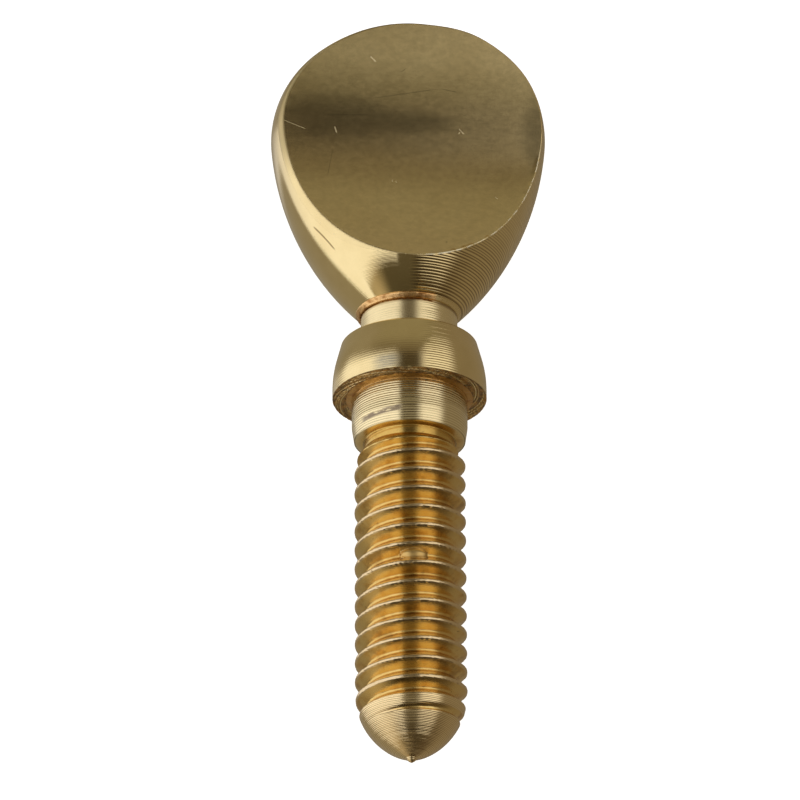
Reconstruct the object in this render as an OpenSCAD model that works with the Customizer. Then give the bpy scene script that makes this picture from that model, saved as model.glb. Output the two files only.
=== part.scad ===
// Brass thumb screw with a dished paddle head, a collar and an M4 x 0.7 right-hand thread.
// The screw lies on its back: +Y runs along its axis from the tip to the head, +Z is square
// to the upper thumb face, and the origin is on the axis in the plane of the collar's seat.
// All lengths are in millimetres. Heights are measured along the axis from the seat.

/* [Head] */
// Width of the paddle head at its widest
head_w = 9.65; // [8.5:0.05:11]
// Height of the widest place above the seat
head_wide_h = 10; // [9:0.1:11]
// Height of the crown above the seat
head_top_h = 14.05; // [13.6:0.05:14.6]
// Radius of the flank that swells up from the neck
flank_r = 10.4; // [9:0.1:12]
// Radius of the shoulder round the widest place
shoulder_r = 3.5; // [3:0.1:3.8]
// Lean of the flank where it joins the shoulder, in degrees
flank_lean = 5; // [2:0.5:8]
// Radius of the two dished thumb faces
dish_r = 11; // [9:0.5:16]
// Height of the thinnest place between the two faces
dish_h = 9.3; // [8:0.1:10.5]
// Thickness of the head at its thinnest
waist_t = 3.04; // [2.6:0.02:3.6]
// Height of the head's lower end, where its filler ring ends
mouth_h = 3.3; // [3.2:0.02:3.7]

/* [Collar] */
// Diameter of the collar at the seat
collar_d = 5.35; // [5:0.05:6]
// Diameter of the collar's upper edge
collar_top_d = 4.75; // [4.4:0.05:4.9]
// Lean of the collar's side below its upper edge, in degrees
collar_lean = 15; // [12:1:18]
// Height of the collar's upper edge
collar_h = 2.02; // [1.8:0.02:2.3]
// Height of the straight land above the seat
land_h = 0.35; // [0.2:0.05:0.6]
// Diameter of the neck between collar and head
neck_d = 3.36; // [3:0.02:3.6]
// Radius of the fillet at the foot of the neck
neck_fillet = 0.35; // [0.2:0.05:0.45]

/* [Stem] */
// Diameter of the plain shank under the collar
shank_d = 4; // [3.9:0.05:4.2]
// Length of the plain shank
shank_l = 1.2; // [1:0.05:1.4]
// Outer diameter of the thread
thread_d = 3.84; // [3.84:0.01:3.97]
// Pitch of the thread
pitch = 0.7; // [0.7:0.01:0.75]
// Depth of the thread
thread_depth = 0.35; // [0.3:0.01:0.38]
// Width of the flat on each crest
crest_w = 0.22; // [0.21:0.01:0.24]
// Number of full crests
crest_count = 13; // [8:1:13]
// Distance of the first full crest below the seat
first_crest = 2.73; // [2.6:0.01:2.9]
// Half-length of the ellipse that rounds the nose
nose_l = 2.2; // [1.8:0.1:2.6]
// Distance of the nose's end below the seat
nose_end = 13.3; // [13:0.05:13.6]
// Diameter of the parting nib on the nose
nib_d = 0.32; // [0.2:0.02:0.5]
// Length of the parting nib beyond the nose
nib_l = 0.25; // [0.1:0.05:0.4]

/* [Brazed joints] */
// Diameter of the tenon that runs through the collar into the head
tenon_d = 2.5; // [2:0.1:2.8]
// Height of the tenon's end inside the head
tenon_top_h = 6.2; // [5:0.1:7]
// Diameter of the shoulder that carries the collar
step_d = 3.6; // [3.4:0.05:3.7]
// Outer diameter of the filler ring under the collar
seat_ring_d = 4.4; // [4.3:0.05:4.6]
// Depth of the filler ring's fillet below the seat
seat_ring_drop = 0.06; // [0.03:0.01:0.2]

/* [Hidden] */
$fn = 96;

brass = [0.78, 0.66, 0.38];
filler = [0.72, 0.45, 0.26];
arc_steps = 14;

neck_r = neck_d / 2;
shank_r = shank_d / 2;
thread_r = thread_d / 2;
root_r = thread_r - thread_depth;
tenon_r = tenon_d / 2;
step_r = step_d / 2;
seat_ring_r = seat_ring_d / 2;
collar_r = collar_d / 2;
collar_top_r = collar_top_d / 2;

// Profiles are lists of [radius, height]. Each curve of the head starts where the last one ends,
// on the same tangent, so only the radii above are needed.
shoulder_c = [head_w / 2 - shoulder_r, head_wide_h];
below_crown = head_wide_h - head_top_h;
crown_r = (shoulder_r ^ 2 - shoulder_c.x ^ 2 - below_crown ^ 2) / (2 * (shoulder_r + below_crown));
crown_c = [0, head_top_h - crown_r];
flank_c = shoulder_c + (flank_r - shoulder_r) * [-cos(flank_lean), sin(flank_lean)];
flank_mouth_a = asin((mouth_h - flank_c.y) / flank_r);
flank_neck_a = -acos((neck_r - flank_c.x) / flank_r);
crown_a = atan2(shoulder_c.y - crown_c.y, shoulder_c.x);

// The collar's side bends away from the straight land and runs on as a cone to the upper edge.
side_rise = collar_h - land_h;
side_drop = collar_r - collar_top_r;
side_r = (side_rise * tan(collar_lean) - side_drop) / (tan(collar_lean) * tan(collar_lean / 2));
step_h = seat_ring_r - step_r;

// The thread's flanks lean 30 degrees each way.
flank_run = thread_depth * tan(30);
last_crest = first_crest + (crest_count - 1) * pitch;
nose_r = thread_r - 0.02;
nose_centre = nose_end - nose_l;
nose_start = last_crest + pitch - crest_w / 2;
nose_a = asin((nose_start - nose_centre) / nose_l);
nose_steps = 12;
nib_a = 84;
runout_start = shank_l + 0.4;
runout_end = runout_start + 0.25;
lead_crest = first_crest - 0.77 * pitch;
lead_depth = 0.14;

// Points on an arc about c from angle a0 to angle a1.
function arc(c, r, a0, a1, steps = arc_steps) =
    [for (i = [0:steps]) c + r * [cos(a0 + (a1 - a0) * i / steps), sin(a0 + (a1 - a0) * i / steps)]];

// Turns a profile drawn as [radius, height] into a solid round the Y axis.
module turned(profile) {
    rotate([-90, 0, 0])
        rotate_extrude()
            polygon(profile);
}

// A plain round bar along the Y axis between two heights.
module bar(r, from, to) {
    translate([0, from, 0])
        rotate([-90, 0, 0])
            cylinder(r = r, h = to - from);
}

// The roller-shaped cut that dishes one thumb face, on the side given by the sign.
module dish_cut(side) {
    translate([-head_w, dish_h, side * (waist_t / 2 + dish_r)])
        rotate([0, 90, 0])
            cylinder(r = dish_r, h = 2 * head_w, $fn = 180);
}

// Turned pear-shaped head with two dished faces and a blind socket for the tenon.
module thumb_head() {
    flank = arc(flank_c, flank_r, flank_mouth_a, -flank_lean);
    shoulder = arc(shoulder_c, shoulder_r, -flank_lean, crown_a);
    crown = arc(crown_c, crown_r, crown_a, 90);
    color(brass)
        difference() {
            turned(concat([[0, mouth_h]], flank, shoulder, crown));
            bar(tenon_r, mouth_h - 1, tenon_top_h);
            for (side = [-1, 1])
                dish_cut(side);
        }
}

// Collar and neck in one bush: seat, land, leaning side, neck, and the bore for the tenon.
module collar() {
    side = arc([collar_r - side_r, land_h], side_r, 0, collar_lean);
    foot = arc([neck_r + neck_fillet, collar_h + neck_fillet], neck_fillet, 270, 180, 6);
    color(brass)
        turned(concat(
            [[seat_ring_r, 0], [collar_r, 0]],
            side,
            [[collar_top_r, collar_h]],
            foot,
            [[neck_r, mouth_h], [tenon_r, mouth_h], [tenon_r, step_h], [step_r, step_h]]
        ));
}

// One full crest of the thread about the given distance below the seat.
function crest(below) = [
    [root_r, -(below - crest_w / 2 - flank_run)],
    [thread_r, -(below - crest_w / 2)],
    [thread_r, -(below + crest_w / 2)],
    [root_r, -(below + crest_w / 2 + flank_run)]
];

// Stem from the tenon's end to the nib. Its thread is a row of rings with the thread's own
// pitch, angle and depth, so that every crest is a true cylinder.
module threaded_stem() {
    tenon = [[0, tenon_top_h], [tenon_r, tenon_top_h], [tenon_r, step_h], [step_r, step_h]];
    shank = [[shank_r, 0], [shank_r, -shank_l], [thread_r, -runout_start], [root_r, -runout_end]];
    lead = [
        [root_r, -(lead_crest - 0.2)],
        [root_r + lead_depth, -lead_crest],
        [root_r, -(lead_crest + 0.1)]
    ];
    crests = [for (i = [0:crest_count - 1]) each crest(first_crest + i * pitch)];
    before_nose = [[root_r, -(nose_start - flank_run)]];
    nose = [
        for (i = [0:nose_steps])
            let (a = nose_a + (nib_a - nose_a) * i / nose_steps)
                [nose_r * cos(a), -(nose_centre + nose_l * sin(a))]
    ];
    nib_end = nose_end + nib_l;
    nib = [[nib_d / 2, -nose_end], [nib_d / 2, -(nib_end - 0.06)], [nib_d / 4, -nib_end], [0, -nib_end]];
    color(brass)
        turned(concat(tenon, shank, lead, crests, before_nose, nose, nib));
}

// Copper-coloured filler that closes the corner between neck and head, flush with the flank.
module head_braze() {
    color(filler)
        turned(concat(
            arc(flank_c, flank_r, flank_neck_a, flank_mouth_a, 4),
            [[neck_r, mouth_h]]
        ));
}

// Filler in the V groove between collar and shank, with a small fillet below the seat.
module collar_braze() {
    color(filler)
        turned([
            [shank_r, 0], [shank_r, -seat_ring_drop], [seat_ring_r, 0], [step_r, step_h]
        ]);
}

thumb_head();
collar();
threaded_stem();
head_braze();
collar_braze();
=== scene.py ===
"""Looks of a brass thumb screw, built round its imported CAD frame.

The screw lies on its back: +Y runs along its axis from the tip to the head, +Z is square to
the upper thumb face, and the origin is on the axis in the plane of the collar's seat.
Sizes are in millimetres here and turned into metres when a mesh is made. Angles round the
axis start at +Z and grow towards +X. Depths are measured along the axis below the seat.
"""

import math

import bpy
import numpy as np
from mathutils import Matrix, Vector


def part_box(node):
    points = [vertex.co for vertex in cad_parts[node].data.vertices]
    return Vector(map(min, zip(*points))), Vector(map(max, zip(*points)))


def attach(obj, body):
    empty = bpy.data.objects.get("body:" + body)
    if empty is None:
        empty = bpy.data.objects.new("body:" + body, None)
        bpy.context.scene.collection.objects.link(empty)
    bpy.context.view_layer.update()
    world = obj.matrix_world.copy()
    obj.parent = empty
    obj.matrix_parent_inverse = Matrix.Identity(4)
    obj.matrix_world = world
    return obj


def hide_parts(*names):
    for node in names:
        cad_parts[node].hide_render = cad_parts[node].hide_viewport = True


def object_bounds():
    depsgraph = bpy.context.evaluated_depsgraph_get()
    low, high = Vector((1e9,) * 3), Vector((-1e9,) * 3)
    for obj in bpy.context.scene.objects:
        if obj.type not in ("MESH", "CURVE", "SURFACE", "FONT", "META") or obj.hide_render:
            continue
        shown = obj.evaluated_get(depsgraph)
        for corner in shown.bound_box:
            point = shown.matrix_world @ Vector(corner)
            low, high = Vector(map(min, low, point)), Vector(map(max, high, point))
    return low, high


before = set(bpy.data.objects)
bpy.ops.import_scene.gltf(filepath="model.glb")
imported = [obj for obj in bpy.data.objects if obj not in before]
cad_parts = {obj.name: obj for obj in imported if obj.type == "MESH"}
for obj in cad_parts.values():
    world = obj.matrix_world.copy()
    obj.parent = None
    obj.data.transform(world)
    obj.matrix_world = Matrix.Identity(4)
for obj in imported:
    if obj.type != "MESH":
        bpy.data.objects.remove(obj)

CAD_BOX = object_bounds()
MM = 0.001
TAU = 2 * math.pi

# ---------------------------------------------------------------- sizes, in millimetres
INSIDE = 0.004  # the skins stay this far inside the CAD box

HEAD_LOW, HEAD_HIGH = (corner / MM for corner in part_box("thumb_head"))
COLLAR_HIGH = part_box("collar")[1] / MM
STEM_LOW, STEM_HIGH = (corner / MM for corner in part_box("threaded_stem"))

HEAD_R = HEAD_HIGH.x - INSIDE
HEAD_TOP = HEAD_HIGH.y - INSIDE
WIDEST = 10.0
FLANK_R = 10.4
SHOULDER_R = 3.5
FLANK_LEAN = math.radians(5)
DISH_R = 11.0
DISH_AT = 9.3
WAIST = 3.04
SHOULDER_LIFT = 0.15
FACE_CROWN_R = 200.0  # the thumb faces bulge this slightly from side to side
MOUTH = 3.3
SOCKET_R = 1.25
TENON_TOP = STEM_HIGH.y

COLLAR_R = COLLAR_HIGH.x - INSIDE
COLLAR_TOP_R = 2.375
COLLAR_H = 2.02
LAND = 0.35
COLLAR_LEAN = math.radians(15)  # of the side's upper, straight part
NECK_R = 1.68
NECK_FILLET = 0.35
STEP_R = 1.8
STEP_H = 0.4
SEAT_RING_R = 2.2

SHANK_R = 2.0
THREAD_R = 1.915
ROOT_R = 1.57
PITCH = 0.7
CREST_HALF = 0.038
NOSE_START = 11.6
FLANK_ANGLE = math.radians(38)
FIRST_CREST = 2.73
NOSE_R = 1.9
NOSE_L = 2.32
NOSE_END = 13.41
NOSE_POWER = 0.62
NIB_R = 0.19
NIB_L = 0.17
TIP = -STEM_LOW.y - 0.002

# [depth, radius] of the shank, its chamfer, the relief groove and the run-in of the thread
LEAD = np.array([
    (0, SHANK_R), (1.10, SHANK_R), (1.60, SHANK_R - 0.075), (1.68, 1.57),
    (1.95, 1.555), (2.10, 1.70), (2.50, 1.93), (20, 1.93),
])
CREST_ROUND = 0.018
ROOT_ROUND = 0.04
CREST_NICKS = 0.013

# The bead of metal in one groove of the thread
BEAD_DEPTH = 6.57
BEAD_ANGLE = math.radians(4.5)
BEAD_BASE_R = 1.60
BEAD_RISE = 0.25
BEAD_HALF_L = 0.24
BEAD_HALF_W = 0.50

# Distance between neighbouring rows of points
HEAD_ROWS = 0.0163
SHANK_ROWS = 0.0175
THREAD_ROWS = 0.021
NOSE_ROWS = 0.0225

# The camera looks up the screw from the side of its tip.
VIEW_TILT = math.radians(25.1)
VIEW_YAW = math.radians(6.0)
VIEW_ROLL = math.radians(0.3)
VIEW_DISTANCE = 250.0
LENS = 325.1
AIM_LEFT = 0.33

# ---------------------------------------------------------------- small maths helpers


def smooth(low, high, x):
    """0 below low, 1 above high, and a soft step between them."""
    t = np.clip((np.asarray(x, float) - low) / (high - low), 0, 1)
    return t * t * (3 - 2 * t)


def hinge(x, width):
    """0 for x below 0 and x above it, rounded over the given half-width."""
    x = np.asarray(x, float)
    return np.where(x < -width, 0, np.where(x > width, x, (x + width) ** 2 / (4 * width)))


def soft_min(a, b, width):
    """The smaller of a and b, rounded where they cross."""
    return a - hinge(a - b, width)


def soft_max(a, b, width):
    """The larger of a and b, rounded where they cross."""
    return a + hinge(b - a, width)


def turning(x, pitch, seed, waves=5):
    """Uneven tool marks of about the given pitch along x, between -1 and 1."""
    rng = np.random.default_rng(seed)
    pitches = pitch * rng.uniform(0.94, 1.07, waves)
    phases = rng.uniform(0, TAU, waves)
    x = np.asarray(x, float)
    total = sum(np.cos(TAU * x / p + q) for p, q in zip(pitches, phases))
    return total / waves


def chatter(angle, seed, slow=4, fast=40, waves=14):
    """A seeded uneven line round the axis, about -1 to 1, that closes on itself."""
    rng = np.random.default_rng(seed)
    turns = rng.integers(slow, fast, waves)
    phases = rng.uniform(0, TAU, waves)
    angle = np.asarray(angle, float)
    return sum(np.cos(k * angle + q) for k, q in zip(turns, phases)) / math.sqrt(2 * waves)


def arc(centre, radius, start, end, steps):
    """Points [radius, height] on an arc, angles in radians."""
    a = np.linspace(start, end, steps + 1)
    return np.c_[centre[0] + radius * np.cos(a), centre[1] + radius * np.sin(a)]


def from_view(angle):
    """Angle round the axis measured from the side that the main view looks at, -pi to pi."""
    return (np.asarray(angle, float) + VIEW_YAW + math.pi) % TAU - math.pi


# ---------------------------------------------------------------- mesh helpers


class Skin:
    """Collects patches of points, welds them and makes one mesh object of them."""

    def __init__(self):
        self.points, self.normals, self.quads, self.slots = [], [], [], []
        self.count = 0

    def patch(self, points, normals, slot=0, close=False):
        """Adds a grid of points, shape rows x columns x 3; close joins its last column to its first."""
        rows, columns = points.shape[:2]
        index = self.count + np.arange(rows * columns).reshape(rows, columns)
        if close:
            index = np.c_[index, index[:, :1]]
        quads = np.stack([index[:-1, :-1], index[1:, :-1], index[1:, 1:], index[:-1, 1:]], -1)
        quads = quads.reshape(-1, 4)
        facing = np.cross(points[1:, 1:] - points[:-1, :-1], points[:-1, 1:] - points[1:, :-1])
        if (facing * normals[:-1, :-1]).sum() < 0:
            quads = quads[:, ::-1]
        self.points.append(points.reshape(-1, 3))
        self.normals.append(normals.reshape(-1, 3))
        self.quads.append(quads)
        self.slots.append(np.full(len(quads), slot))
        self.count += rows * columns

    def build(self, name, materials):
        """Welds the patches and returns the finished object, riding on the root body."""
        points = np.vstack(self.points)
        normals = np.vstack(self.normals)
        quads = np.vstack(self.quads)
        slots = np.concatenate(self.slots)
        _, first, where = np.unique(
            np.round(points, 5), axis=0, return_index=True, return_inverse=True
        )
        quads = where.ravel()[quads]
        polygons, kept = [], []
        for quad, slot in zip(quads.tolist(), slots.tolist()):
            ring = [v for k, v in enumerate(quad) if v != quad[k - 1]]
            if len(set(ring)) >= 3 and len(set(ring)) == len(ring):
                polygons.append(ring)
                kept.append(slot)
        mesh = bpy.data.meshes.new(name)
        mesh.from_pydata((points[first] * MM).tolist(), [], polygons)
        for material in materials:
            mesh.materials.append(material)
        mesh.polygons.foreach_set("material_index", kept)
        mesh.polygons.foreach_set("use_smooth", [True] * len(kept))
        lengths = np.linalg.norm(normals[first], axis=1, keepdims=True)
        mesh.normals_split_custom_set_from_vertices((normals[first] / lengths).tolist())
        piece = bpy.data.objects.new(name, mesh)
        bpy.context.scene.collection.objects.link(piece)
        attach(piece, "root")
        return piece


def surface(y, a, radius):
    """Points and normals of a skin round the axis whose radius is radius(height, angle)."""
    tiny = 1e-4
    r = np.maximum(radius(y, a), 0)
    r_y = (radius(y + tiny, a) - radius(y - tiny, a)) / (2 * tiny)
    r_a = (radius(y, a + tiny) - radius(y, a - tiny)) / (2 * tiny)
    points = np.stack([r * np.sin(a), y, r * np.cos(a)], -1)
    outward = np.stack([np.sin(a), np.zeros_like(a), np.cos(a)], -1)
    round_axis = np.stack([np.cos(a), np.zeros_like(a), -np.sin(a)], -1)
    normals = r[..., None] * outward - r_a[..., None] * round_axis
    normals[..., 1] -= r * r_y
    return points, normals


def turned_patch(skin, heights, radius, columns):
    """Adds a skin all round the axis, whose heights end on the axis."""
    angle = np.linspace(-math.pi, math.pi, columns, endpoint=False)
    points, normals = surface(*np.meshgrid(heights, angle, indexing="ij"), radius)
    on_axis = np.linalg.norm(normals, axis=-1) < 1e-9
    normals[on_axis] = (0, np.sign(heights[-1] - heights[0]), 0)
    skin.patch(points, normals, close=True)


def profile_patch(skin, profile, columns, push=None):
    """Adds a skin round the axis from a profile of [radius, height] points.

    The profile runs so that metal is on its right. push(radius, height, angle) moves the skin
    outwards along its own normal. Corners are softened over neighbouring points.
    """
    profile = np.asarray(profile, float)
    closed = np.allclose(profile[0], profile[-1])
    if closed:
        step = np.roll(profile[:-1], -1, 0) - np.roll(profile[:-1], 1, 0)
        step = np.vstack([step, step[:1]])
    else:
        step = np.gradient(profile, axis=0)
    size = np.maximum(np.linalg.norm(step, axis=1, keepdims=True), 1e-9)
    out = np.c_[step[:, 1], -step[:, 0]] / size
    angle = np.linspace(-math.pi, math.pi, columns, endpoint=False)
    r, a = np.meshgrid(profile[:, 0], angle, indexing="ij")
    y = np.repeat(profile[:, 1:2], columns, 1)
    n_r = np.repeat(out[:, :1], columns, 1)
    n_y = np.repeat(out[:, 1:2], columns, 1)
    slope = np.zeros_like(r)
    if push is not None:
        moved = push(r, y, a)
        travel = np.r_[0, np.cumsum(np.linalg.norm(np.diff(profile, axis=0), axis=1))]
        travel = travel + np.arange(len(travel)) * 1e-6
        slope = np.gradient(moved, travel, axis=0)
        r = r + moved * n_r
        y = y + moved * n_y
    t_r = -n_y
    t_y = n_r
    n_r, n_y = n_r - slope * t_r, n_y - slope * t_y
    r = np.maximum(r, 0)
    points = np.stack([r * np.sin(a), y, r * np.cos(a)], -1)
    normals = np.stack([n_r * np.sin(a), n_y, n_r * np.cos(a)], -1)
    skin.patch(points, normals, close=True)


def densify(profile, spacing):
    """Adds points on a profile's straight stretches so that none is longer than the spacing."""
    profile = np.asarray(profile, float)
    points = [profile[:1]]
    for start, end in zip(profile[:-1], profile[1:]):
        steps = max(1, math.ceil(np.linalg.norm(end - start) / spacing))
        points.append(start + (end - start) * np.arange(1, steps + 1)[:, None] / steps)
    return np.vstack(points)


# ---------------------------------------------------------------- material helpers


class Graph:
    """Short ways to wire the few shader nodes that the looks need."""

    def __init__(self, tree):
        self.tree = tree
        tree.nodes.clear()

    def node(self, kind, settings=None, **inputs):
        """A node with its settings, and its inputs set by name with _ for a space."""
        made = self.tree.nodes.new(kind)
        for key, value in (settings or {}).items():
            setattr(made, key, value)
        for key, value in inputs.items():
            self.feed(made.inputs[key.replace("_", " ")], value)
        return made

    def feed(self, socket, value):
        """Links a socket to another socket, or sets it to a plain value."""
        if isinstance(value, bpy.types.NodeSocket):
            self.tree.links.new(value, socket)
        else:
            socket.default_value = value

    def maths(self, operation, *values, clamp=False):
        """One plain calculation on sockets and numbers."""
        made = self.node("ShaderNodeMath", {"operation": operation, "use_clamp": clamp})
        for socket, value in zip(made.inputs, values):
            self.feed(socket, value)
        return made.outputs[0]

    def times(self, first, *factors):
        """The product of all the values."""
        for factor in factors:
            first = self.maths("MULTIPLY", first, factor)
        return first

    def scaled(self, value, factor, offset):
        """value times the factor, plus the offset."""
        return self.maths("MULTIPLY_ADD", value, factor, offset)

    def step(self, value, low, high):
        """Soft step from 0 at low to 1 at high; low may be the larger of the two."""
        falls = low > high
        made = self.node(
            "ShaderNodeMapRange", {"interpolation_type": "SMOOTHSTEP"}, Value=value,
            From_Min=min(low, high), From_Max=max(low, high), To_Min=float(falls),
            To_Max=float(not falls),
        )
        return made.outputs["Result"]

    def band(self, value, low, high, soft):
        """1 between low and high, with soft edges."""
        rise = self.step(value, low - soft, low + soft)
        fall = self.step(value, high + soft, high - soft)
        return self.times(rise, fall)

    def mix(self, amount, a, b):
        """Mixes two colours."""
        made = self.node("ShaderNodeMix", {"data_type": "RGBA"})
        self.feed(made.inputs["Factor"], amount)
        for key, value in (("A", a), ("B", b)):
            sockets = [s for s in made.inputs if s.name == key and s.type == "RGBA"]
            if not isinstance(value, bpy.types.NodeSocket):
                value = (*value, 1.0)
            self.feed(sockets[0], value)
        return [s for s in made.outputs if s.type == "RGBA"][0]

    def tint(self, colour, mask, amount, other):
        """Mixes another colour in where the mask is 1, as far as the amount."""
        return self.mix(self.times(mask, amount), colour, other)

    def mix_value(self, amount, a, b):
        """a where amount is 0, b where it is 1, for plain numbers."""
        return self.scaled(amount, self.maths("SUBTRACT", b, a), a)

    def noise(self, vector, scale, detail=2.0, roughness=0.5):
        """Smooth random values, about 0.3 to 0.7, that change over 1 / scale millimetres."""
        made = self.node(
            "ShaderNodeTexNoise", Vector=vector, Scale=scale, Detail=detail, Roughness=roughness
        )
        return made.outputs[0]


class Place(Graph):
    """A graph that also knows where on the screw a point is, in millimetres."""

    def __init__(self, tree):
        super().__init__(tree)
        coordinates = self.node("ShaderNodeTexCoord").outputs["Object"]
        grown = self.node(
            "ShaderNodeVectorMath", {"operation": "SCALE"}, Vector=coordinates, Scale=1 / MM
        )
        self.point = grown.outputs[0]
        split = self.node("ShaderNodeSeparateXYZ", Vector=self.point)
        self.x, self.y, self.z = split.outputs
        squares = self.maths("ADD", self.power(self.x, 2), self.power(self.z, 2))
        self.radius = self.maths("SQRT", squares)

    def power(self, value, exponent):
        """The size of a value raised to an exponent."""
        return self.maths("POWER", self.maths("ABSOLUTE", value), exponent)

    def stretched(self, x, y, z):
        """The point with its coordinates scaled, for noise that is longer one way."""
        made = self.node("ShaderNodeVectorMath", {"operation": "MULTIPLY"}, Vector=self.point)
        made.inputs[1].default_value = (x, y, z)
        return made.outputs[0]

    def rings(self, pitch, unevenness=0.5, along=None):
        """Tool marks round the axis, 0 to 1: an even feed whose depth and spacing wander."""
        along = self.y if along is None else along
        uneven = self.node(
            "ShaderNodeTexNoise", {"noise_dimensions": "1D"}, W=along, Scale=0.45 / pitch, Detail=2
        ).outputs[0]
        phase = self.scaled(uneven, 9 * unevenness, self.times(along, TAU / pitch))
        wave = self.scaled(self.maths("SINE", phase), 0.5, 0.5)
        return self.times(wave, self.scaled(uneven, unevenness * 2, 1 - unevenness))

    def scratch(self, centre, direction, length, width):
        """1 on a fine straight scratch seen square to the thumb face, and 0 off it."""
        c, s = math.cos(math.radians(direction)), math.sin(math.radians(direction))
        dx = self.maths("SUBTRACT", self.x, centre[0])
        dy = self.maths("SUBTRACT", self.y, centre[1])
        along = self.maths("ADD", self.times(dx, c), self.times(dy, s))
        off = self.maths("SUBTRACT", self.times(dy, c), self.times(dx, s))
        near = self.step(self.maths("ABSOLUTE", off), width, width * 0.3)
        ends = self.step(self.maths("ABSOLUTE", along), length * 0.5, length * 0.3)
        front = self.step(self.z, 0.0, 0.3)
        return self.times(self.times(near, ends), front)

    def blot(self, centre, half_x, half_y):
        """Mask of a soft, uneven oval stain at an (x, y) place on a thumb face."""
        across = self.times(self.maths("SUBTRACT", self.x, centre[0]), 1 / half_x)
        along = self.times(self.maths("SUBTRACT", self.y, centre[1]), 1 / half_y)
        gone = self.maths("ADD", self.power(across, 2), self.power(along, 2))
        uneven = self.noise(self.stretched(1.0, 2.2, 1.0), 0.8, 4, 0.55)
        return self.step(self.scaled(uneven, 0.9, gone), 1.6, 0.3)

    def any_of(self, masks):
        """The largest of several masks."""
        total = masks[0]
        for mask in masks[1:]:
            total = self.maths("MAXIMUM", total, mask)
        return total


# Colours of the bare and the stained metal; some also serve as painted shade and painted reflection
BRASS = (0.89, 0.72, 0.38)
BRASS_PALE = (0.97, 0.86, 0.57)
BRASS_DULL = (0.74, 0.57, 0.27)
BRASS_DEEP = (0.77, 0.55, 0.21)
TARNISH_AND_PAINTED_SHADE = (0.30, 0.19, 0.07)
GREY_SMEAR = (0.34, 0.32, 0.25)
SMUDGE_AND_PAINTED_REFLECTION = (0.26, 0.21, 0.105)
COPPER = (0.84, 0.52, 0.22)
BROWNED_COPPER = (0.62, 0.36, 0.12)


def metal(graph, colour, roughness, bumps, anisotropy=0.0):
    """Ends a graph with a metal surface. bumps is a list of (height 0 to 1, depth in mm)."""
    metallic = graph.node(
        "ShaderNodeBsdfPrincipled", Metallic=1.0, Base_Color=colour, Roughness=roughness
    )
    if anisotropy:
        metallic.inputs["Anisotropic"].default_value = anisotropy
        tangent = graph.node("ShaderNodeTangent", {"direction_type": "RADIAL", "axis": "Y"})
        graph.feed(metallic.inputs["Tangent"], tangent.outputs[0])
    below = metallic
    for height, depth in reversed(bumps):
        bump = graph.node("ShaderNodeBump", Height=height, Distance=depth * MM)
        graph.feed(below.inputs["Normal"], bump.outputs[0])
        below = bump
    graph.node("ShaderNodeOutputMaterial", Surface=metallic.outputs[0])


def new_material(name):
    """A fresh material, and the graph to draw it with."""
    material = bpy.data.materials.new(name)
    material.use_nodes = True
    return material, Place(material.node_tree)


def view_side(place):
    """Distance to the right of the main view's centre line, in millimetres."""
    c, s = math.cos(VIEW_YAW), math.sin(VIEW_YAW)
    return place.maths("ADD", place.times(place.x, c), place.times(place.z, s))


def dish_material():
    """Satin thumb face: fine brushing, a few nicks, and a soft tarnish whose dark blots are partly a
    stain and partly a painted reflection of the dark room.
    """
    material, at = new_material("satin_thumb_face")
    brush = at.noise(at.stretched(0.9, 11, 2), 2.2, 5, 0.65)
    rub = at.noise(at.stretched(9, 1.0, 2), 2.6, 4, 0.6)
    cloud = at.noise(at.point, 0.45, 3, 0.55)
    specks = at.noise(at.point, 7.0, 4, 0.7)
    mottle = at.noise(at.stretched(1.0, 1.3, 1.0), 3.6, 6, 0.75)
    colour = at.mix(cloud, BRASS, BRASS_DULL)
    colour = at.tint(colour, at.step(mottle, 0.75, 0.25), 0.26, SMUDGE_AND_PAINTED_REFLECTION)
    # Dark blots across the upper face: partly a stain, partly a painted reflection of the dark room.
    stain_and_painted_reflection = at.any_of([
        at.blot((-2.8, 10.1), 2.5, 1.0),
        at.blot((-0.9, 10.0), 3.0, 0.6),
        at.blot((4.5, 9.8), 0.8, 1.9),
    ])
    colour = at.tint(colour, stain_and_painted_reflection, 0.62, SMUDGE_AND_PAINTED_REFLECTION)
    hairline = at.any_of([
        at.scratch((-0.25, 11.07), 10.8, 2.5, 0.016),
        at.scratch((1.3, 11.25), 170, 0.66, 0.016),
        at.scratch((-2.3, 10.2), 2, 1.7, 0.022),
        at.scratch((-0.34, 11.9), 37, 0.26, 0.016),
        at.scratch((-2.9, 8.3), 80, 1.3, 0.012),
        at.scratch((1.06, 4.96), 20, 0.08, 0.04),
    ])
    colour = at.tint(colour, hairline, 0.6, SMUDGE_AND_PAINTED_REFLECTION)
    nicks = at.any_of([
        at.scratch((-1.42, 12.25), 137, 0.30, 0.020),
        at.scratch((-2.70, 9.62), 107, 0.28, 0.018),
        at.scratch((1.72, 9.75), 132, 0.30, 0.015),
        at.scratch((1.64, 9.68), 60, 0.09, 0.015),
        at.scratch((-4.15, 9.77), 158, 0.95, 0.011),
        at.scratch((-0.73, 7.65), 95, 0.10, 0.014),
        at.scratch((-0.60, 7.60), 100, 0.08, 0.012),
        at.scratch((2.9, 7.1), 140, 0.14, 0.012),
    ])
    colour = at.tint(colour, nicks, 0.5, (0.95, 0.85, 0.60))
    edge_wear = at.step(view_side(at), -3.7, -4.5)
    rough = at.scaled(brush, 0.08, 0.13)
    rough = at.scaled(mottle, 0.08, rough)
    rough = at.scaled(nicks, 0.2, rough)
    pitted = at.times(specks, edge_wear)
    metal(at, colour, rough, [(brush, 0.0005), (rub, 0.0004), (nicks, 0.005), (pitted, 0.004)])
    return material


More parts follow.
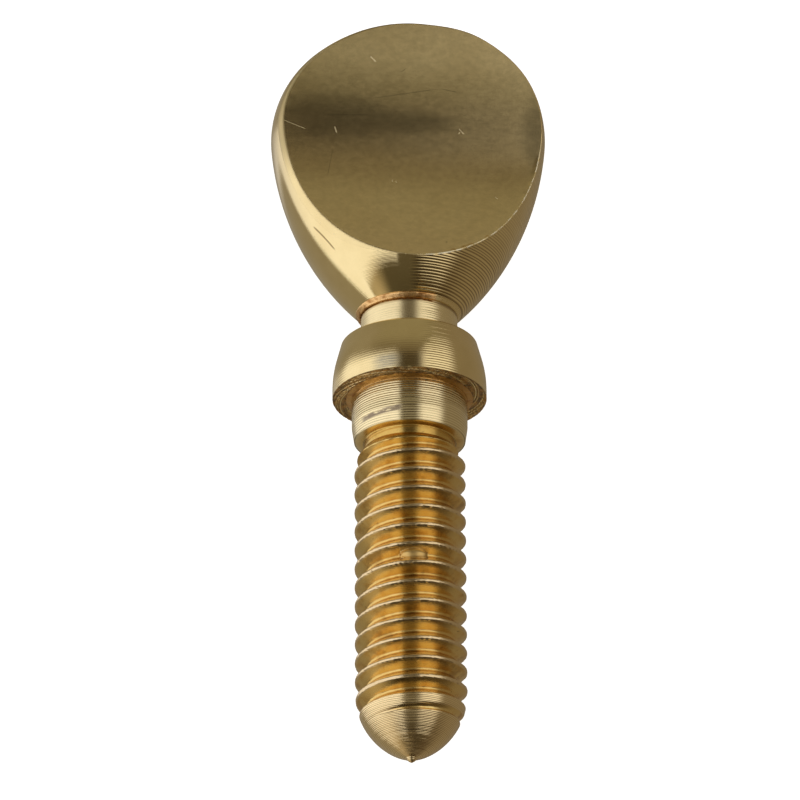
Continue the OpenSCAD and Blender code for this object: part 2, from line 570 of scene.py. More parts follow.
def flank_material():
    """Turned head flank: tool rings on one side, polished by hand on the other."""
    material, at = new_material("turned_head_flank")
    side = view_side(at)
    frayed = at.scaled(at.noise(at.stretched(1, 9, 1), 1.4, 3, 0.6), 0.5, side)
    turned = at.step(frayed, 0.25, 0.62)
    dulled = at.step(frayed, -0.40, 0.50)
    rings = at.rings(0.08)
    fine = at.rings(0.035)
    cloud = at.noise(at.point, 0.9, 4, 0.6)
    hairs = at.noise(at.stretched(2, 14, 9), 2.0, 4, 0.7)
    colour = at.mix(cloud, BRASS, BRASS_DULL)
    low = at.step(at.y, 6.5, 4.2)
    grime = at.times(turned, at.step(rings, 0.50, 0.30))
    grime = at.times(grime, at.scaled(low, 0.60, 0.20))
    colour = at.mix(grime, colour, TARNISH_AND_PAINTED_SHADE)
    cut = at.scratch((-3.10, 5.38), 127, 1.35, 0.018)
    cut = at.times(cut, at.step(at.z, 0.0, 0.3))
    colour = at.tint(colour, cut, 0.7, TARNISH_AND_PAINTED_SHADE)
    rough = at.scaled(dulled, 0.12, 0.035)
    rough = at.scaled(hairs, 0.05, rough)
    height = at.times(turned, rings)
    scuff = at.maths("SUBTRACT", 1.0, cut)
    metal(at, colour, rough, [(height, 0.0065), (fine, 0.0004), (hairs, 0.0004), (scuff, 0.01)])
    return material


def edge_material():
    """The face's edge: rubbed soft and pitted on the left, a ragged burr on the right whose pale chips
    are painted highlights.
    """
    material, at = new_material("head_edge")
    side = view_side(at)
    crisp = at.times(at.step(side, 0.2, 1.0), at.step(at.y, 9.6, 8.4))
    cloud = at.noise(at.point, 0.9, 4, 0.6)
    chips = at.noise(at.point, 5.0, 4, 0.65)
    specks = at.noise(at.stretched(7, 9, 7), 1.0, 5, 0.75)
    # Painted highlight: pale cream chips in the burr's colour stand in for its glints.
    painted_burr_glints = at.times(crisp, at.step(chips, 0.42, 0.58))
    colour = at.mix(cloud, BRASS, BRASS_DULL)
    dull = at.times(at.step(at.y, 9.3, 10.2), at.step(side, -2.8, -0.8))
    colour = at.tint(colour, dull, 0.75, TARNISH_AND_PAINTED_SHADE)
    colour = at.mix(painted_burr_glints, colour, (0.98, 0.90, 0.68))
    rubbed = at.times(at.step(side, -2.2, -3.4), at.step(at.y, 7.4, 9.4))
    colour = at.tint(colour, rubbed, 0.5, SMUDGE_AND_PAINTED_REFLECTION)
    rough = at.scaled(painted_burr_glints, 0.30, 0.20)
    rough = at.scaled(rubbed, 0.16, rough)
    rough = at.scaled(specks, 0.12, rough)
    metal(at, colour, rough, [(specks, 0.006), (chips, 0.003)])
    return material


def collar_material():
    """Collar and neck: turned, with a brushed smear, a painted golden reflection and shade in the
    neck's fillet, painted shade under the head's mouth, and a dark, rough seat whose crust is partly
    painted shade.
    """
    material, at = new_material("turned_collar")
    side = view_side(at)
    turned = at.step(side, 0.3, 0.9)
    rings = at.rings(0.09)
    cloud = at.noise(at.point, 1.2, 4, 0.6)
    grain = at.noise(at.stretched(3, 20, 3), 2.0, 4, 0.7)
    seat = at.step(at.y, 0.03, 0.005)
    colour = at.mix(cloud, BRASS, BRASS_DULL)
    smear = at.times(at.band(side, -1.15, -0.35, 0.30), at.band(at.y, 0.02, 0.55, 0.20))
    smear = at.times(smear, at.step(at.z, 0.0, 0.5))
    streaks = at.noise(at.stretched(0.8, 9, 0.8), 2.0, 4)
    smear = at.times(smear, at.scaled(at.step(streaks, 0.35, 0.6), 0.5, 0.5))
    colour = at.tint(colour, smear, 0.85, GREY_SMEAR)
    neck = at.step(at.radius, 1.9, 1.75)
    colour = at.tint(colour, neck, 0.25, BRASS_PALE)
    # Painted reflection and shade: darker gold in the fillet at the neck's foot, where light bounces in
    # the corner.
    foot = at.times(at.band(at.y, 2.0, 2.34, 0.05), at.step(at.radius, 2.1, 1.95))
    colour = at.tint(colour, foot, 0.75, (0.66, 0.44, 0.15))
    # Painted shade: the neck turns dark where it runs into the head's mouth, under the filler ring.
    colour = at.tint(colour, at.step(at.y, 2.97, 3.08), 0.8, TARNISH_AND_PAINTED_SHADE)
    crust = at.noise(at.point, 3.2, 5, 0.65)
    # The seat's dark crust is partly real scale and partly painted shade of the underside.
    crust_and_painted_shade = at.mix(at.step(crust, 0.40, 0.60), (0.13, 0.06, 0.02), (0.48, 0.25, 0.07))
    colour = at.tint(colour, seat, 0.9, crust_and_painted_shade)
    rough = at.scaled(cloud, 0.08, 0.10)
    rough = at.scaled(smear, 0.2, rough)
    rough = at.scaled(seat, 0.25, rough)
    rough = at.scaled(neck, 0.12, rough)
    height = at.times(turned, rings)
    scale = at.times(crust, seat)
    bumps = [(height, 0.0042), (rings, 0.0008), (grain, 0.0010), (scale, 0.05)]
    metal(at, colour, rough, bumps, 0.3)
    return material


def stem_material():
    """Shank, thread and nose: pale crests, grooves painted a deeper gold and darker towards the root as
    painted reflection and shade, and fine tool rings.
    """
    material, at = new_material("cut_thread")
    rings = at.rings(0.086)
    fine = at.rings(0.03)
    rounded = at.rings(0.076, 0.35, at.maths("ADD", at.y, at.radius))
    cloud = at.noise(at.point, 1.6, 4, 0.6)
    grain = at.noise(at.stretched(4, 16, 4), 2.0, 4, 0.7)
    specks = at.noise(at.point, 6.0, 4, 0.7)
    shank = at.step(at.y, -1.68, -1.58)
    reach = at.scaled(at.y, -1 / NOSE_L, (NOSE_L - NOSE_END) / NOSE_L)
    reach = at.maths("MAXIMUM", reach, 0.0)
    rest = at.maths("MAXIMUM", at.maths("SUBTRACT", 1.0, at.power(reach, 2)), 0.0)
    outside = at.times(at.power(rest, NOSE_POWER), NOSE_R)
    sunken = at.maths("SUBTRACT", at.maths("MINIMUM", outside, THREAD_R), at.radius)
    low_down = at.step(at.y, -11.45, -11.55)
    nose = at.times(low_down, at.step(sunken, 0.05, 0.02))
    plain = at.maths("ADD", shank, nose, clamp=True)
    cut = at.maths("SUBTRACT", 1.0, plain)
    deep = at.times(at.step(sunken, 0.01, 0.06), cut)
    root = at.times(at.step(sunken, 0.20, 0.33), cut)
    colour = at.mix(cloud, BRASS, BRASS_DULL)
    colour = at.tint(colour, cut, 0.8, (0.74, 0.56, 0.33))
    colour = at.tint(colour, shank, 0.40, BRASS_PALE)
    stain_and_painted_reflection = at.noise(at.stretched(1.2, 1.2, 1.2), 1.1, 3, 0.6)
    # Painted reflection and shade: the grooves get a deeper, darker gold than bare brass, standing in
    # for light bouncing in them.
    painted_groove_gold = at.mix(at.step(stain_and_painted_reflection, 0.42, 0.66), BRASS_DEEP, (0.69, 0.43, 0.13))
    colour = at.mix(deep, colour, painted_groove_gold)
    # Painted shade: darker orange towards the root of each groove.
    colour = at.tint(colour, root, 0.4, (0.66, 0.38, 0.08))
    patina = at.step(at.noise(at.point, 1.3, 5, 0.65), 0.52, 0.70)
    colour = at.tint(colour, at.times(patina, deep), 0.5, TARNISH_AND_PAINTED_SHADE)
    # Painted shade: the relief groove below the shank is tinted darker gold.
    relief = at.band(at.y, -2.08, -1.66, 0.04)
    colour = at.tint(colour, relief, 0.6, (0.58, 0.37, 0.09))
    colour = at.tint(colour, nose, 0.5, (0.92, 0.70, 0.40))
    dirt = at.times(at.step(specks, 0.62, 0.72), at.scaled(cut, 0.5, 0.2))
    colour = at.mix(dirt, colour, TARNISH_AND_PAINTED_SHADE)
    grime = at.maths("ADD", at.times(at.step(rings, 0.42, 0.20), shank),
                     at.times(at.step(rounded, 0.42, 0.18), nose))
    colour = at.tint(colour, grime, 0.38, TARNISH_AND_PAINTED_SHADE)
    side = view_side(at)
    tilted = at.scaled(at.maths("ADD", side, 0.45), -0.087, at.y)
    smear = at.times(at.band(side, -1.62, -0.30, 0.10), at.band(tilted, -1.27, -1.09, 0.04))
    ragged = at.step(at.noise(at.stretched(1.2, 5, 1.2), 1.6, 5, 0.7), 0.36, 0.50)
    smear = at.times(smear, at.times(ragged, at.step(at.z, 0.0, 0.4)))
    colour = at.tint(colour, smear, 0.85, (0.24, 0.18, 0.13))
    rough = at.scaled(cloud, 0.08, 0.12)
    rough = at.scaled(cut, 0.05, rough)
    rough = at.scaled(smear, 0.25, rough)
    drop = at.times(at.band(side, -0.38, 0.62, 0.05), at.band(at.y, -6.78, -6.36, 0.03))
    drop = at.times(drop, at.step(sunken, 0.33, 0.27), deep)
    drop = at.times(drop, at.step(at.z, 0.0, 0.4))
    colour = at.tint(colour, drop, 0.45, (0.52, 0.31, 0.10))
    rough = at.scaled(drop, 0.14, rough)
    height = at.times(shank, rings)
    blunt = at.times(nose, rounded)
    bumps = [(height, 0.005), (blunt, 0.006), (fine, 0.0005), (grain, 0.0012), (specks, 0.0014)]
    metal(at, colour, rough, bumps, 0.3)
    return material


def filler_material(name, dark, body):
    """Copper-coloured filler: rough, pitted and oxidised in places."""
    material, at = new_material(name)
    lumps = at.noise(at.point, 2.4, 4, 0.55)
    pits = at.noise(at.point, 9.0, 3, 0.6)
    oxide = at.step(lumps, 0.52 - dark, 0.34 - dark)
    colour = at.mix(oxide, body, (0.42, 0.20, 0.06))
    bare = at.times(at.step(view_side(at), 0.85, 1.0), at.step(at.y, 2.0, 2.2))
    colour = at.mix(bare, colour, BRASS_DULL)
    rough = at.scaled(pits, 0.22, 0.18)
    metal(at, colour, rough, [(lumps, 0.02), (pits, 0.006)])
    return material


# ---------------------------------------------------------------- head


SHOULDER_C = np.array([HEAD_R - SHOULDER_R, WIDEST])
BELOW_CROWN = WIDEST - HEAD_TOP
CROWN_R = (SHOULDER_R**2 - SHOULDER_C[0] ** 2 - BELOW_CROWN**2) / (2 * (SHOULDER_R + BELOW_CROWN))
CROWN_Y = HEAD_TOP - CROWN_R
FLANK_C = SHOULDER_C + (FLANK_R - SHOULDER_R) * np.array([-math.cos(FLANK_LEAN), math.sin(FLANK_LEAN)])
FLANK_END = SHOULDER_C[1] - SHOULDER_R * math.sin(FLANK_LEAN)
CROWN_ANGLE = math.atan2(SHOULDER_C[1] - CROWN_Y, SHOULDER_C[0])
CROWN_START = CROWN_Y + CROWN_R * math.sin(CROWN_ANGLE)


def pear(y):
    """Radius of the head, without tool marks, at a height above the seat."""
    y = np.asarray(y, float)
    flank = FLANK_C[0] + np.sqrt(np.maximum(FLANK_R**2 - (y - FLANK_C[1]) ** 2, 0))
    shoulder = SHOULDER_C[0] + np.sqrt(np.maximum(SHOULDER_R**2 - (y - SHOULDER_C[1]) ** 2, 0))
    crown = np.sqrt(np.maximum(CROWN_R**2 - (y - CROWN_Y) ** 2, 0))
    return np.where(y < FLANK_END, flank, np.where(y < CROWN_START, shoulder, crown))


def head_marks(y, angle):
    """Height of the tool marks on the head's flank: cut on the right, polished off on the left."""
    side = np.sin(from_view(angle))
    start = 0.04 + 0.03 * turning(y, 0.21, 27)
    cut = smooth(start - 0.02, start + 0.10, side) * smooth(5.2, 4.5, y)
    wobble = 0.0035 * chatter(angle, 3, 1, 5, 5) * smooth(0.1, -0.5, side)
    return 0.0032 * cut * turning(y, 0.082, 11, 4) + wobble


def head_radius(y, angle):
    """Radius of the head's flank with its tool marks."""
    return pear(y) + head_marks(y, angle)


def dish(x, y):
    """Half-thickness of the head at a point of its upper thumb face."""
    along = WAIST / 2 + DISH_R - np.sqrt(DISH_R**2 - (y - DISH_AT) ** 2)
    return along - x**2 / (2 * FACE_CROWN_R)


def face_edge(count):
    """Points of the sharp edge between flank and upper face, right half, lower lip to upper lip."""

    def gap(y):
        """How far the flank stands out over the face on the head's centre line."""
        return pear(y) - dish(0, y)

    def cross(low, high):
        """The height between low and high at which the gap closes, by halving."""
        for _ in range(60):
            middle = (low + high) / 2
            if (gap(middle) > 0) == (gap(low) > 0):
                low = middle
            else:
                high = middle
        return (low + high) / 2

    low = cross(MOUTH, 6.0)
    high = cross(12.0, HEAD_TOP - 0.01)
    turn = np.linspace(0, math.pi, 6001)
    y = (low + high) / 2 - (high - low) / 2 * np.cos(turn)
    r = pear(y)
    z = FACE_CROWN_R - np.sqrt(np.maximum(
        FACE_CROWN_R**2 - 2 * FACE_CROWN_R * dish(0, y) + r**2, 0
    ))
    x = np.sqrt(np.maximum(r**2 - z**2, 0))
    x[[0, -1]] = 0
    line = np.c_[x, y, z]
    travel = np.r_[0, np.cumsum(np.linalg.norm(np.diff(line, axis=0), axis=1))]
    even = np.linspace(0, travel[-1], count + 1)
    return np.stack([np.interp(even, travel, line[:, k]) for k in range(3)], -1)


def lift_shoulder(points):
    """Raises the head's right shoulder a little, as the polishing left it."""
    lifted = points.copy()
    rise = smooth(0.3, 2.4, points[..., 0]) * smooth(9.8, 11.8, points[..., 1])
    lifted[..., 1] = np.minimum(points[..., 1] + SHOULDER_LIFT * rise, HEAD_TOP)
    return lifted


def unit(v):
    """Vectors scaled to length 1."""
    return v / np.maximum(np.linalg.norm(v, axis=-1, keepdims=True), 1e-12)


def pear_normal(x, y, z):
    """Outward normal of the head's turned flank."""
    tiny = 1e-3
    slope = (pear(y + tiny) - pear(y - tiny)) / (2 * tiny)
    r = np.maximum(np.hypot(x, z), 1e-6)
    return unit(np.stack([x / r, -slope, z / r], -1))


def dish_normal(x, y):
    """Outward normal of the upper thumb face."""
    slope = (y - DISH_AT) / np.sqrt(DISH_R**2 - (y - DISH_AT) ** 2)
    return unit(np.stack([x / FACE_CROWN_R, -slope, np.ones_like(x)], -1))


def flank_strip(skin, y, reach, side, columns):
    """Rows across one side of the flank. reach is the angle above and below the side's middle."""
    across = np.linspace(-1, 1, columns + 1)
    a = side * (math.pi / 2 - reach[:, None] * across)
    y = np.repeat(y[:, None], columns + 1, 1)
    points, normals = surface(y, a, head_radius)
    normals[np.hypot(points[..., 0], points[..., 2]) < 1e-6] = (0, 1, 0)
    points = lift_shoulder(points)
    skin.patch(points, normals)
    return points


def make_head(flank, face, rim):
    """The pear-shaped head: turned flank, softened and crisp face edges, two dished faces."""
    skin = Skin()
    samples, columns, steps, rings = 210, 72, 5, 30
    edge = face_edge(samples)
    tangent = unit(np.gradient(edge, axis=0))
    tangent[[0, -1]] = [(1, 0, 0), (-1, 0, 0)]
    round_normal = pear_normal(*edge.T)
    flat_normal = dish_normal(edge[:, 0], edge[:, 1])
    down = unit(np.cross(tangent, round_normal))
    down *= -np.sign((down * flat_normal).sum(1, keepdims=True))
    inward = unit(np.cross(tangent, flat_normal))
    inward *= -np.sign((inward * round_normal).sum(1, keepdims=True))
    middle_y = (edge[0, 1] + edge[-1, 1]) / 2

    for side in (-1, 1):
        x = side * edge[:, 0]
        soft = smooth(-0.5, -3.2, x)
        worn_flank = 0.035 + 0.36 * soft
        worn_face = 0.03 + 0.05 * soft
        ragged = chatter(np.linspace(0, math.pi, samples + 1), 21 + side, 9, 90, 30)
        crisp = smooth(0.5, 1.8, x)
        worn_face = worn_face * (1 + 0.35 * ragged * crisp)
        flip_x = np.array([side, 1, 1])
        foot = edge + worn_flank[:, None] * down
        reach = np.arctan2(foot[:, 2], np.maximum(foot[:, 0], 0))
        reach[[0, -1]] = math.pi / 2
        low_rows = np.arange(MOUTH, foot[0, 1] - 0.01, HEAD_ROWS)
        high_rows = HEAD_TOP - (HEAD_TOP - foot[-1, 1]) * np.linspace(1, 0, 22)[1:] ** 2
        half = np.full(len(low_rows), math.pi / 2)
        lower = np.r_[low_rows, foot[:1, 1]]
        flank_strip(skin, lower, np.r_[half, math.pi / 2], side, columns)
        strip = flank_strip(skin, foot[:, 1], reach, side, columns)
        upper = np.r_[foot[-1:, 1], high_rows]
        flank_strip(skin, upper, np.full(len(upper), math.pi / 2), side, columns)

        ridge = edge * flip_x
        top = unit(round_normal + flat_normal) * flip_x
        torn = crisp * smooth(9.4, 7.8, edge[:, 1])
        burr = 0.060 * np.maximum(0.45 + ragged, 0) * torn
        ridge = ridge + top * burr[:, None]
        inner = edge + worn_face[:, None] * inward
        inner[:, 2] = dish(inner[:, 0], inner[:, 1])
        inner = inner * flip_x
        for face_side in (1, -1):
            mirror = np.array([1, 1, face_side])
            first = strip[:, -1] if face_side > 0 else strip[:, 0]
            t = np.linspace(0, 1, steps + 1)[:, None, None]
            bend = lift_shoulder(ridge * mirror)
            last = lift_shoulder(inner * mirror)
            curve = (1 - t) ** 2 * first + 2 * t * (1 - t) * bend + t**2 * last
            lean = ((1 - t) * round_normal + t * flat_normal) * flip_x * mirror
            real = unit(np.cross(np.gradient(curve, axis=0), np.gradient(curve, axis=1)))
            real *= np.sign((real * lean).sum(-1, keepdims=True))
            skin.patch(curve, lean + 1.5 * real * torn[:, None], 2)

            centre = np.array([0, middle_y])
            shrink = np.linspace(1, 0, rings + 1)[:, None, None]
            flat = centre + shrink * (inner[None, :, :2] - centre)
            z = dish(flat[..., 0], flat[..., 1])
            points = np.stack([flat[..., 0], flat[..., 1], face_side * z], -1)
            normals = dish_normal(flat[..., 0], flat[..., 1]) * mirror
            skin.patch(lift_shoulder(points), normals, 1)

    # The mouth's rim and the blind socket that takes the tenon.
    half_turn = np.linspace(-math.pi / 2, math.pi / 2, columns + 1)
    for side in (-1, 1):
        angle = side * (math.pi / 2 - half_turn)
        rows = [(float(pear(MOUTH)), MOUTH), (SOCKET_R, MOUTH), (SOCKET_R, TENON_TOP), (0, TENON_TOP)]
        facing = [(0, -1), (0, -1), (-1, 0), (0, -1)]
        points, normals = [], []
        for k, ((r, y), (n_r, n_y)) in enumerate(zip(rows, facing)):
            if k == 0:
                r = r + head_marks(np.full_like(angle, y), angle)
            points.append(np.stack([r * np.sin(angle), np.full_like(angle, y), r * np.cos(angle)], -1))
            normals.append(np.stack([
                n_r * np.sin(angle), np.full_like(angle, n_y), n_r * np.cos(angle)
            ], -1))
        skin.patch(np.array(points), np.array(normals))
    head = skin.build("thumb_head_skin", [flank, face, rim])
    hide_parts("thumb_head")
    return head


# ---------------------------------------------------------------- collar


def make_collar(material):
    """Collar and neck in one bush, with tool rings, a burred rim and a rough seat."""
    break_edge = 0.03
    rise = COLLAR_H - break_edge - LAND
    drop = COLLAR_R - COLLAR_TOP_R
    lean = math.tan(COLLAR_LEAN)
    side_r = (rise * lean - drop) / (math.tan(COLLAR_LEAN / 2) * lean)
    bend = arc((COLLAR_R - side_r, LAND), side_r, 0, COLLAR_LEAN, 24)
    cone = densify([bend[-1], (COLLAR_TOP_R, COLLAR_H - break_edge)], 0.026)
    side = np.vstack([bend, cone[1:]])
    foot = arc((NECK_R + NECK_FILLET, COLLAR_H + NECK_FILLET), NECK_FILLET, 1.5 * math.pi, math.pi, 12)
    profile = np.vstack([
        densify([(SEAT_RING_R, 0), (COLLAR_R - 0.02, 0)], 0.04),
        [(COLLAR_R - 0.008, 0.003), (COLLAR_R, 0.014)],
        densify([(COLLAR_R, 0.03), (COLLAR_R, LAND - 0.02)], 0.025),
        side,
        [(COLLAR_TOP_R - 0.02, COLLAR_H - 0.006), (COLLAR_TOP_R - 0.035, COLLAR_H)],
        densify([(COLLAR_TOP_R - 0.05, COLLAR_H), (foot[0, 0] + 0.02, COLLAR_H)], 0.04),
        foot,
        densify([(NECK_R, COLLAR_H + NECK_FILLET + 0.02), (NECK_R, MOUTH)], 0.025),
        [(SOCKET_R, MOUTH), (SOCKET_R, STEP_H), (STEP_R, STEP_H), (SEAT_RING_R, 0)],
    ])

    def push(r, y, a):
        """How far the skin stands out at a radius, height and angle."""
        view = from_view(a)
        right = smooth(0.12, 0.45, np.sin(view))
        outside = smooth(2.0, 2.3, r) * smooth(0.05, 0.15, y)
        rings = 0.0015 * turning(y, 0.085, 5) * (0.2 + 0.8 * right) * outside
        neck = 0.0018 * turning(y, 0.07, 8) * smooth(1.9, 1.75, r) * smooth(2.2, 2.4, y)
        rim = 0.010 * chatter(a, 31, 12, 80, 26) * smooth(0.06, 0.0, np.abs(y)) * smooth(2.5, 2.62, r)
        rim = np.minimum(rim, 0.001)
        seat = 0.03 * (chatter(a + 2 * r, 41, 4, 60, 20) - 0.4) * smooth(0.01, 0.0, y)
        seat = seat * smooth(2.66, 2.58, r) * smooth(SEAT_RING_R, SEAT_RING_R + 0.05, r)
        return rings + neck + rim + np.minimum(seat, 0)

    skin = Skin()
    profile_patch(skin, profile, 224, push)
    collar = skin.build("collar_skin", [material])
    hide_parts("collar")
    return collar


# ---------------------------------------------------------------- stem


def thread_radius(depth, angle):
    """Radius of the endless right-hand thread at a depth below the seat."""
    turn = (depth - FIRST_CREST) / PITCH + (angle + VIEW_YAW) / TAU
    off = np.abs(turn - np.round(turn)) * PITCH
    whole = np.round(turn)
    run = (THREAD_R - ROOT_R) * math.tan(FLANK_ANGLE)
    slope = (THREAD_R - ROOT_R) / run
    nick = CREST_NICKS * chatter(angle + 0.7 * whole, 51, 6, 70, 26) * smooth(0.09, 0.05, off)
    cut = hinge(off - CREST_HALF + nick, CREST_ROUND) - hinge(off - CREST_HALF - run, ROOT_ROUND)
    crest_marks = 0.0012 * turning(off, 0.05, 9) * smooth(CREST_HALF, CREST_HALF - 0.03, off)
    return THREAD_R - slope * cut + crest_marks


def outer_limit(depth):
    """Largest radius that the thread may have: shank, relief at the top, rounded nose."""
    lead = np.interp(depth, *LEAD.T)
    reach = np.clip((depth - NOSE_END + NOSE_L) / NOSE_L, 0, 1)
    nose = NOSE_R * np.maximum(1 - reach**2, 0) ** NOSE_POWER
    nib_reach = np.clip((depth - TIP + NIB_L) / NIB_L, 0, 1)
    nib = NIB_R * np.maximum(1 - nib_reach**1.6, 0) ** 0.8
    nose = soft_max(nose, nib, 0.05)
    return np.minimum(lead, np.where(depth > NOSE_END - NOSE_L, nose, 9))


def bead(depth, angle):
    """Radius of the small bead of metal that sits in one groove, 0 away from it."""
    along = (depth - BEAD_DEPTH) / BEAD_HALF_L
    across = 1.66 * from_view(angle - BEAD_ANGLE) / BEAD_HALF_W
    inside = 1 - along**2 - across**2
    return np.where(inside > 0, BEAD_BASE_R + BEAD_RISE * np.sqrt(np.maximum(inside, 0)), 0)


def travelled(depth):
    """Distance along the nose's profile from the start of the nose to a depth."""
    at = np.linspace(NOSE_START, NOSE_END, 4001)
    steps = np.hypot(np.diff(at), np.diff(outer_limit(at)))
    return np.interp(depth, at, np.r_[0, np.cumsum(steps)])


def nose_rows(spacing):
    """Depths of the nose's rows, evenly spread along its profile."""
    at = np.linspace(NOSE_START, NOSE_END, 4001)
    gone = travelled(at)
    wanted = np.linspace(0, gone[-1], math.ceil(gone[-1] / spacing))
    return np.interp(wanted, gone, at)


def stem_radius(y, angle):
    """Radius of the stem below the seat, with its tool marks."""
    depth = -y
    limit = outer_limit(depth)
    plain = smooth(1.72, 1.60, depth)
    threaded = soft_min(thread_radius(depth, angle), limit, 0.02)
    r = np.where(depth < 1.7, limit, threaded)
    r = soft_max(r, bead(depth, angle), 0.012)
    shank_marks = 0.0030 * turning(depth, 0.088, 15, 4) * smooth(1.26, 1.16, depth)
    fine_marks = 0.0007 * turning(depth, 0.05, 17) * plain
    nose_marks = 0.0006 * turning(travelled(depth), 0.105, 19, 3) * smooth(11.7, 12.1, depth)
    wobble = 0.002 * chatter(angle, 61, 1, 6, 6) * smooth(0.2, 0.5, depth)
    r = r + shank_marks + fine_marks + nose_marks * smooth(13.28, 13.15, depth)
    return np.where(depth > TIP - 1e-6, 0, r + wobble * smooth(13.2, 12.8, depth))


def make_stem(material):
    """The stem: hidden tenon, plain shank, relief, true helical thread, nose and nib."""
    columns = 136
    skin = Skin()
    hidden = densify([
        (0, TENON_TOP - INSIDE), (SOCKET_R, TENON_TOP - INSIDE), (SOCKET_R, STEP_H),
        (STEP_R, STEP_H), (SHANK_R - 0.02, 0.04),
    ], 1.0)
    profile_patch(skin, hidden[::-1], columns)
    rows = -np.r_[
        np.arange(0, 1.2, SHANK_ROWS),
        np.arange(1.2, NOSE_START - 0.01, THREAD_ROWS),
        nose_rows(NOSE_ROWS),
        TIP - (TIP - NOSE_END) * np.linspace(1, 0, 12)[1:] ** 2,
    ]
    turned_patch(skin, rows, stem_radius, columns)
    stem = skin.build("threaded_stem_skin", [material])
    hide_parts("threaded_stem")
    return stem


# ---------------------------------------------------------------- filler rings


def make_head_braze(material):
    """Copper-coloured ring in the corner under the head; its raised bead stops on the right."""
    low = 3.12
    profile = densify([
        (NECK_R, low), (NECK_R + 0.05, low), (float(pear(MOUTH)) - 0.01, MOUTH - 0.03),
        (float(pear(MOUTH)) - 0.02, MOUTH), (NECK_R, MOUTH), (NECK_R, low),
    ], 0.025)

    def push(r, y, a):
        """How far the skin stands out at a radius, height and angle."""
        view = from_view(a)
        raised = smooth(0.60, 0.50, view) * smooth(-2.9, -2.5, view)
        outside = smooth(NECK_R, NECK_R + 0.05, r) * smooth(MOUTH, MOUTH - 0.04, y)
        lumps = 0.6 + 0.4 * chatter(a, 71, 8, 70, 24)
        return outside * (0.035 * raised * lumps - 0.03 * (1 - raised))

    skin = Skin()
    profile_patch(skin, profile, 240, push)
    ring = skin.build("head_braze_skin", [material])
    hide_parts("head_braze")
    return ring


def make_collar_braze(material):
    """Filler between the collar's seat and the shank, lumpy and sunken in places."""
    profile = densify([
        (SHANK_R, 0.02), (SHANK_R, -0.05), (SHANK_R + 0.05, -0.04),
        (SEAT_RING_R, -0.005), (SEAT_RING_R, 0.0), (STEP_R + 0.01, STEP_H - 0.02), (SHANK_R, 0.02),
    ][::-1], 0.03)

    def push(r, y, a):
        """How far the skin stands out at a radius, height and angle."""
        under = smooth(0.0, -0.02, y) * smooth(SHANK_R, SHANK_R + 0.03, r)
        return 0.018 * under * chatter(a, 81, 6, 50, 20)

    skin = Skin()
    profile_patch(skin, profile[::-1], 240, push)
    ring = skin.build("collar_braze_skin", [material])
    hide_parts("collar_braze")
    return ring


# ---------------------------------------------------------------- camera, floor and light


def view_axes():
    """The main view's right, up and backward directions."""
    c, s = math.cos(VIEW_TILT), math.sin(VIEW_TILT)
    back = Vector((-math.sin(VIEW_YAW) * c, -s, math.cos(VIEW_YAW) * c))
    right = Vector((math.cos(VIEW_YAW), 0, math.sin(VIEW_YAW)))
    up = back.cross(right)
    turn = Matrix.Rotation(-VIEW_ROLL, 3, back)
    return turn @ right, turn @ up, back


def make_camera():
    """Camera at the main view's angle, with a long lens."""
    data = bpy.data.cameras.new("camera")
    data.sensor_width = 36
    data.lens = LENS
    data.clip_start = 0.02
    data.clip_end = 5
    camera = bpy.data.objects.new("camera", data)
    bpy.context.scene.collection.objects.link(camera)
    right, up, back = view_axes()
    place = (back * VIEW_DISTANCE - right * AIM_LEFT) * MM
    turn = Matrix((right, up, back)).transposed()
    camera.matrix_world = Matrix.Translation(place) @ turn.to_4x4()
    bpy.context.scene.camera = camera
    bpy.context.scene.view_settings.view_transform = "Standard"
    bpy.context.scene.view_settings.look = "None"


def make_floor():
    """A round pale floor that the screw lies on. Reflections see the studio instead of it."""
    radius, sides = 1.2, 96
    level = min(CAD_BOX[0].z, HEAD_LOW.z * MM)
    angles = [TAU * k / sides for k in range(sides)]
    rim = [(radius * math.cos(a), radius * math.sin(a), level) for a in angles]
    mesh = bpy.data.meshes.new("floor")
    mesh.from_pydata(rim, [], [list(range(sides))])
    floor = bpy.data.objects.new("floor", mesh)
    bpy.context.scene.collection.objects.link(floor)
    material = bpy.data.materials.new("pale_floor")
    material.use_nodes = True
    graph = Graph(material.node_tree)
    paper = graph.node(
        "ShaderNodeBsdfPrincipled", Roughness=0.9, Base_Color=(0.80, 0.80, 0.80, 1),
        Emission_Color=(1, 1, 1, 1), Emission_Strength=0.84,
    )
    graph.node("ShaderNodeOutputMaterial", Surface=paper.outputs[0])
    mesh.materials.append(material)
    floor.visible_glossy = False


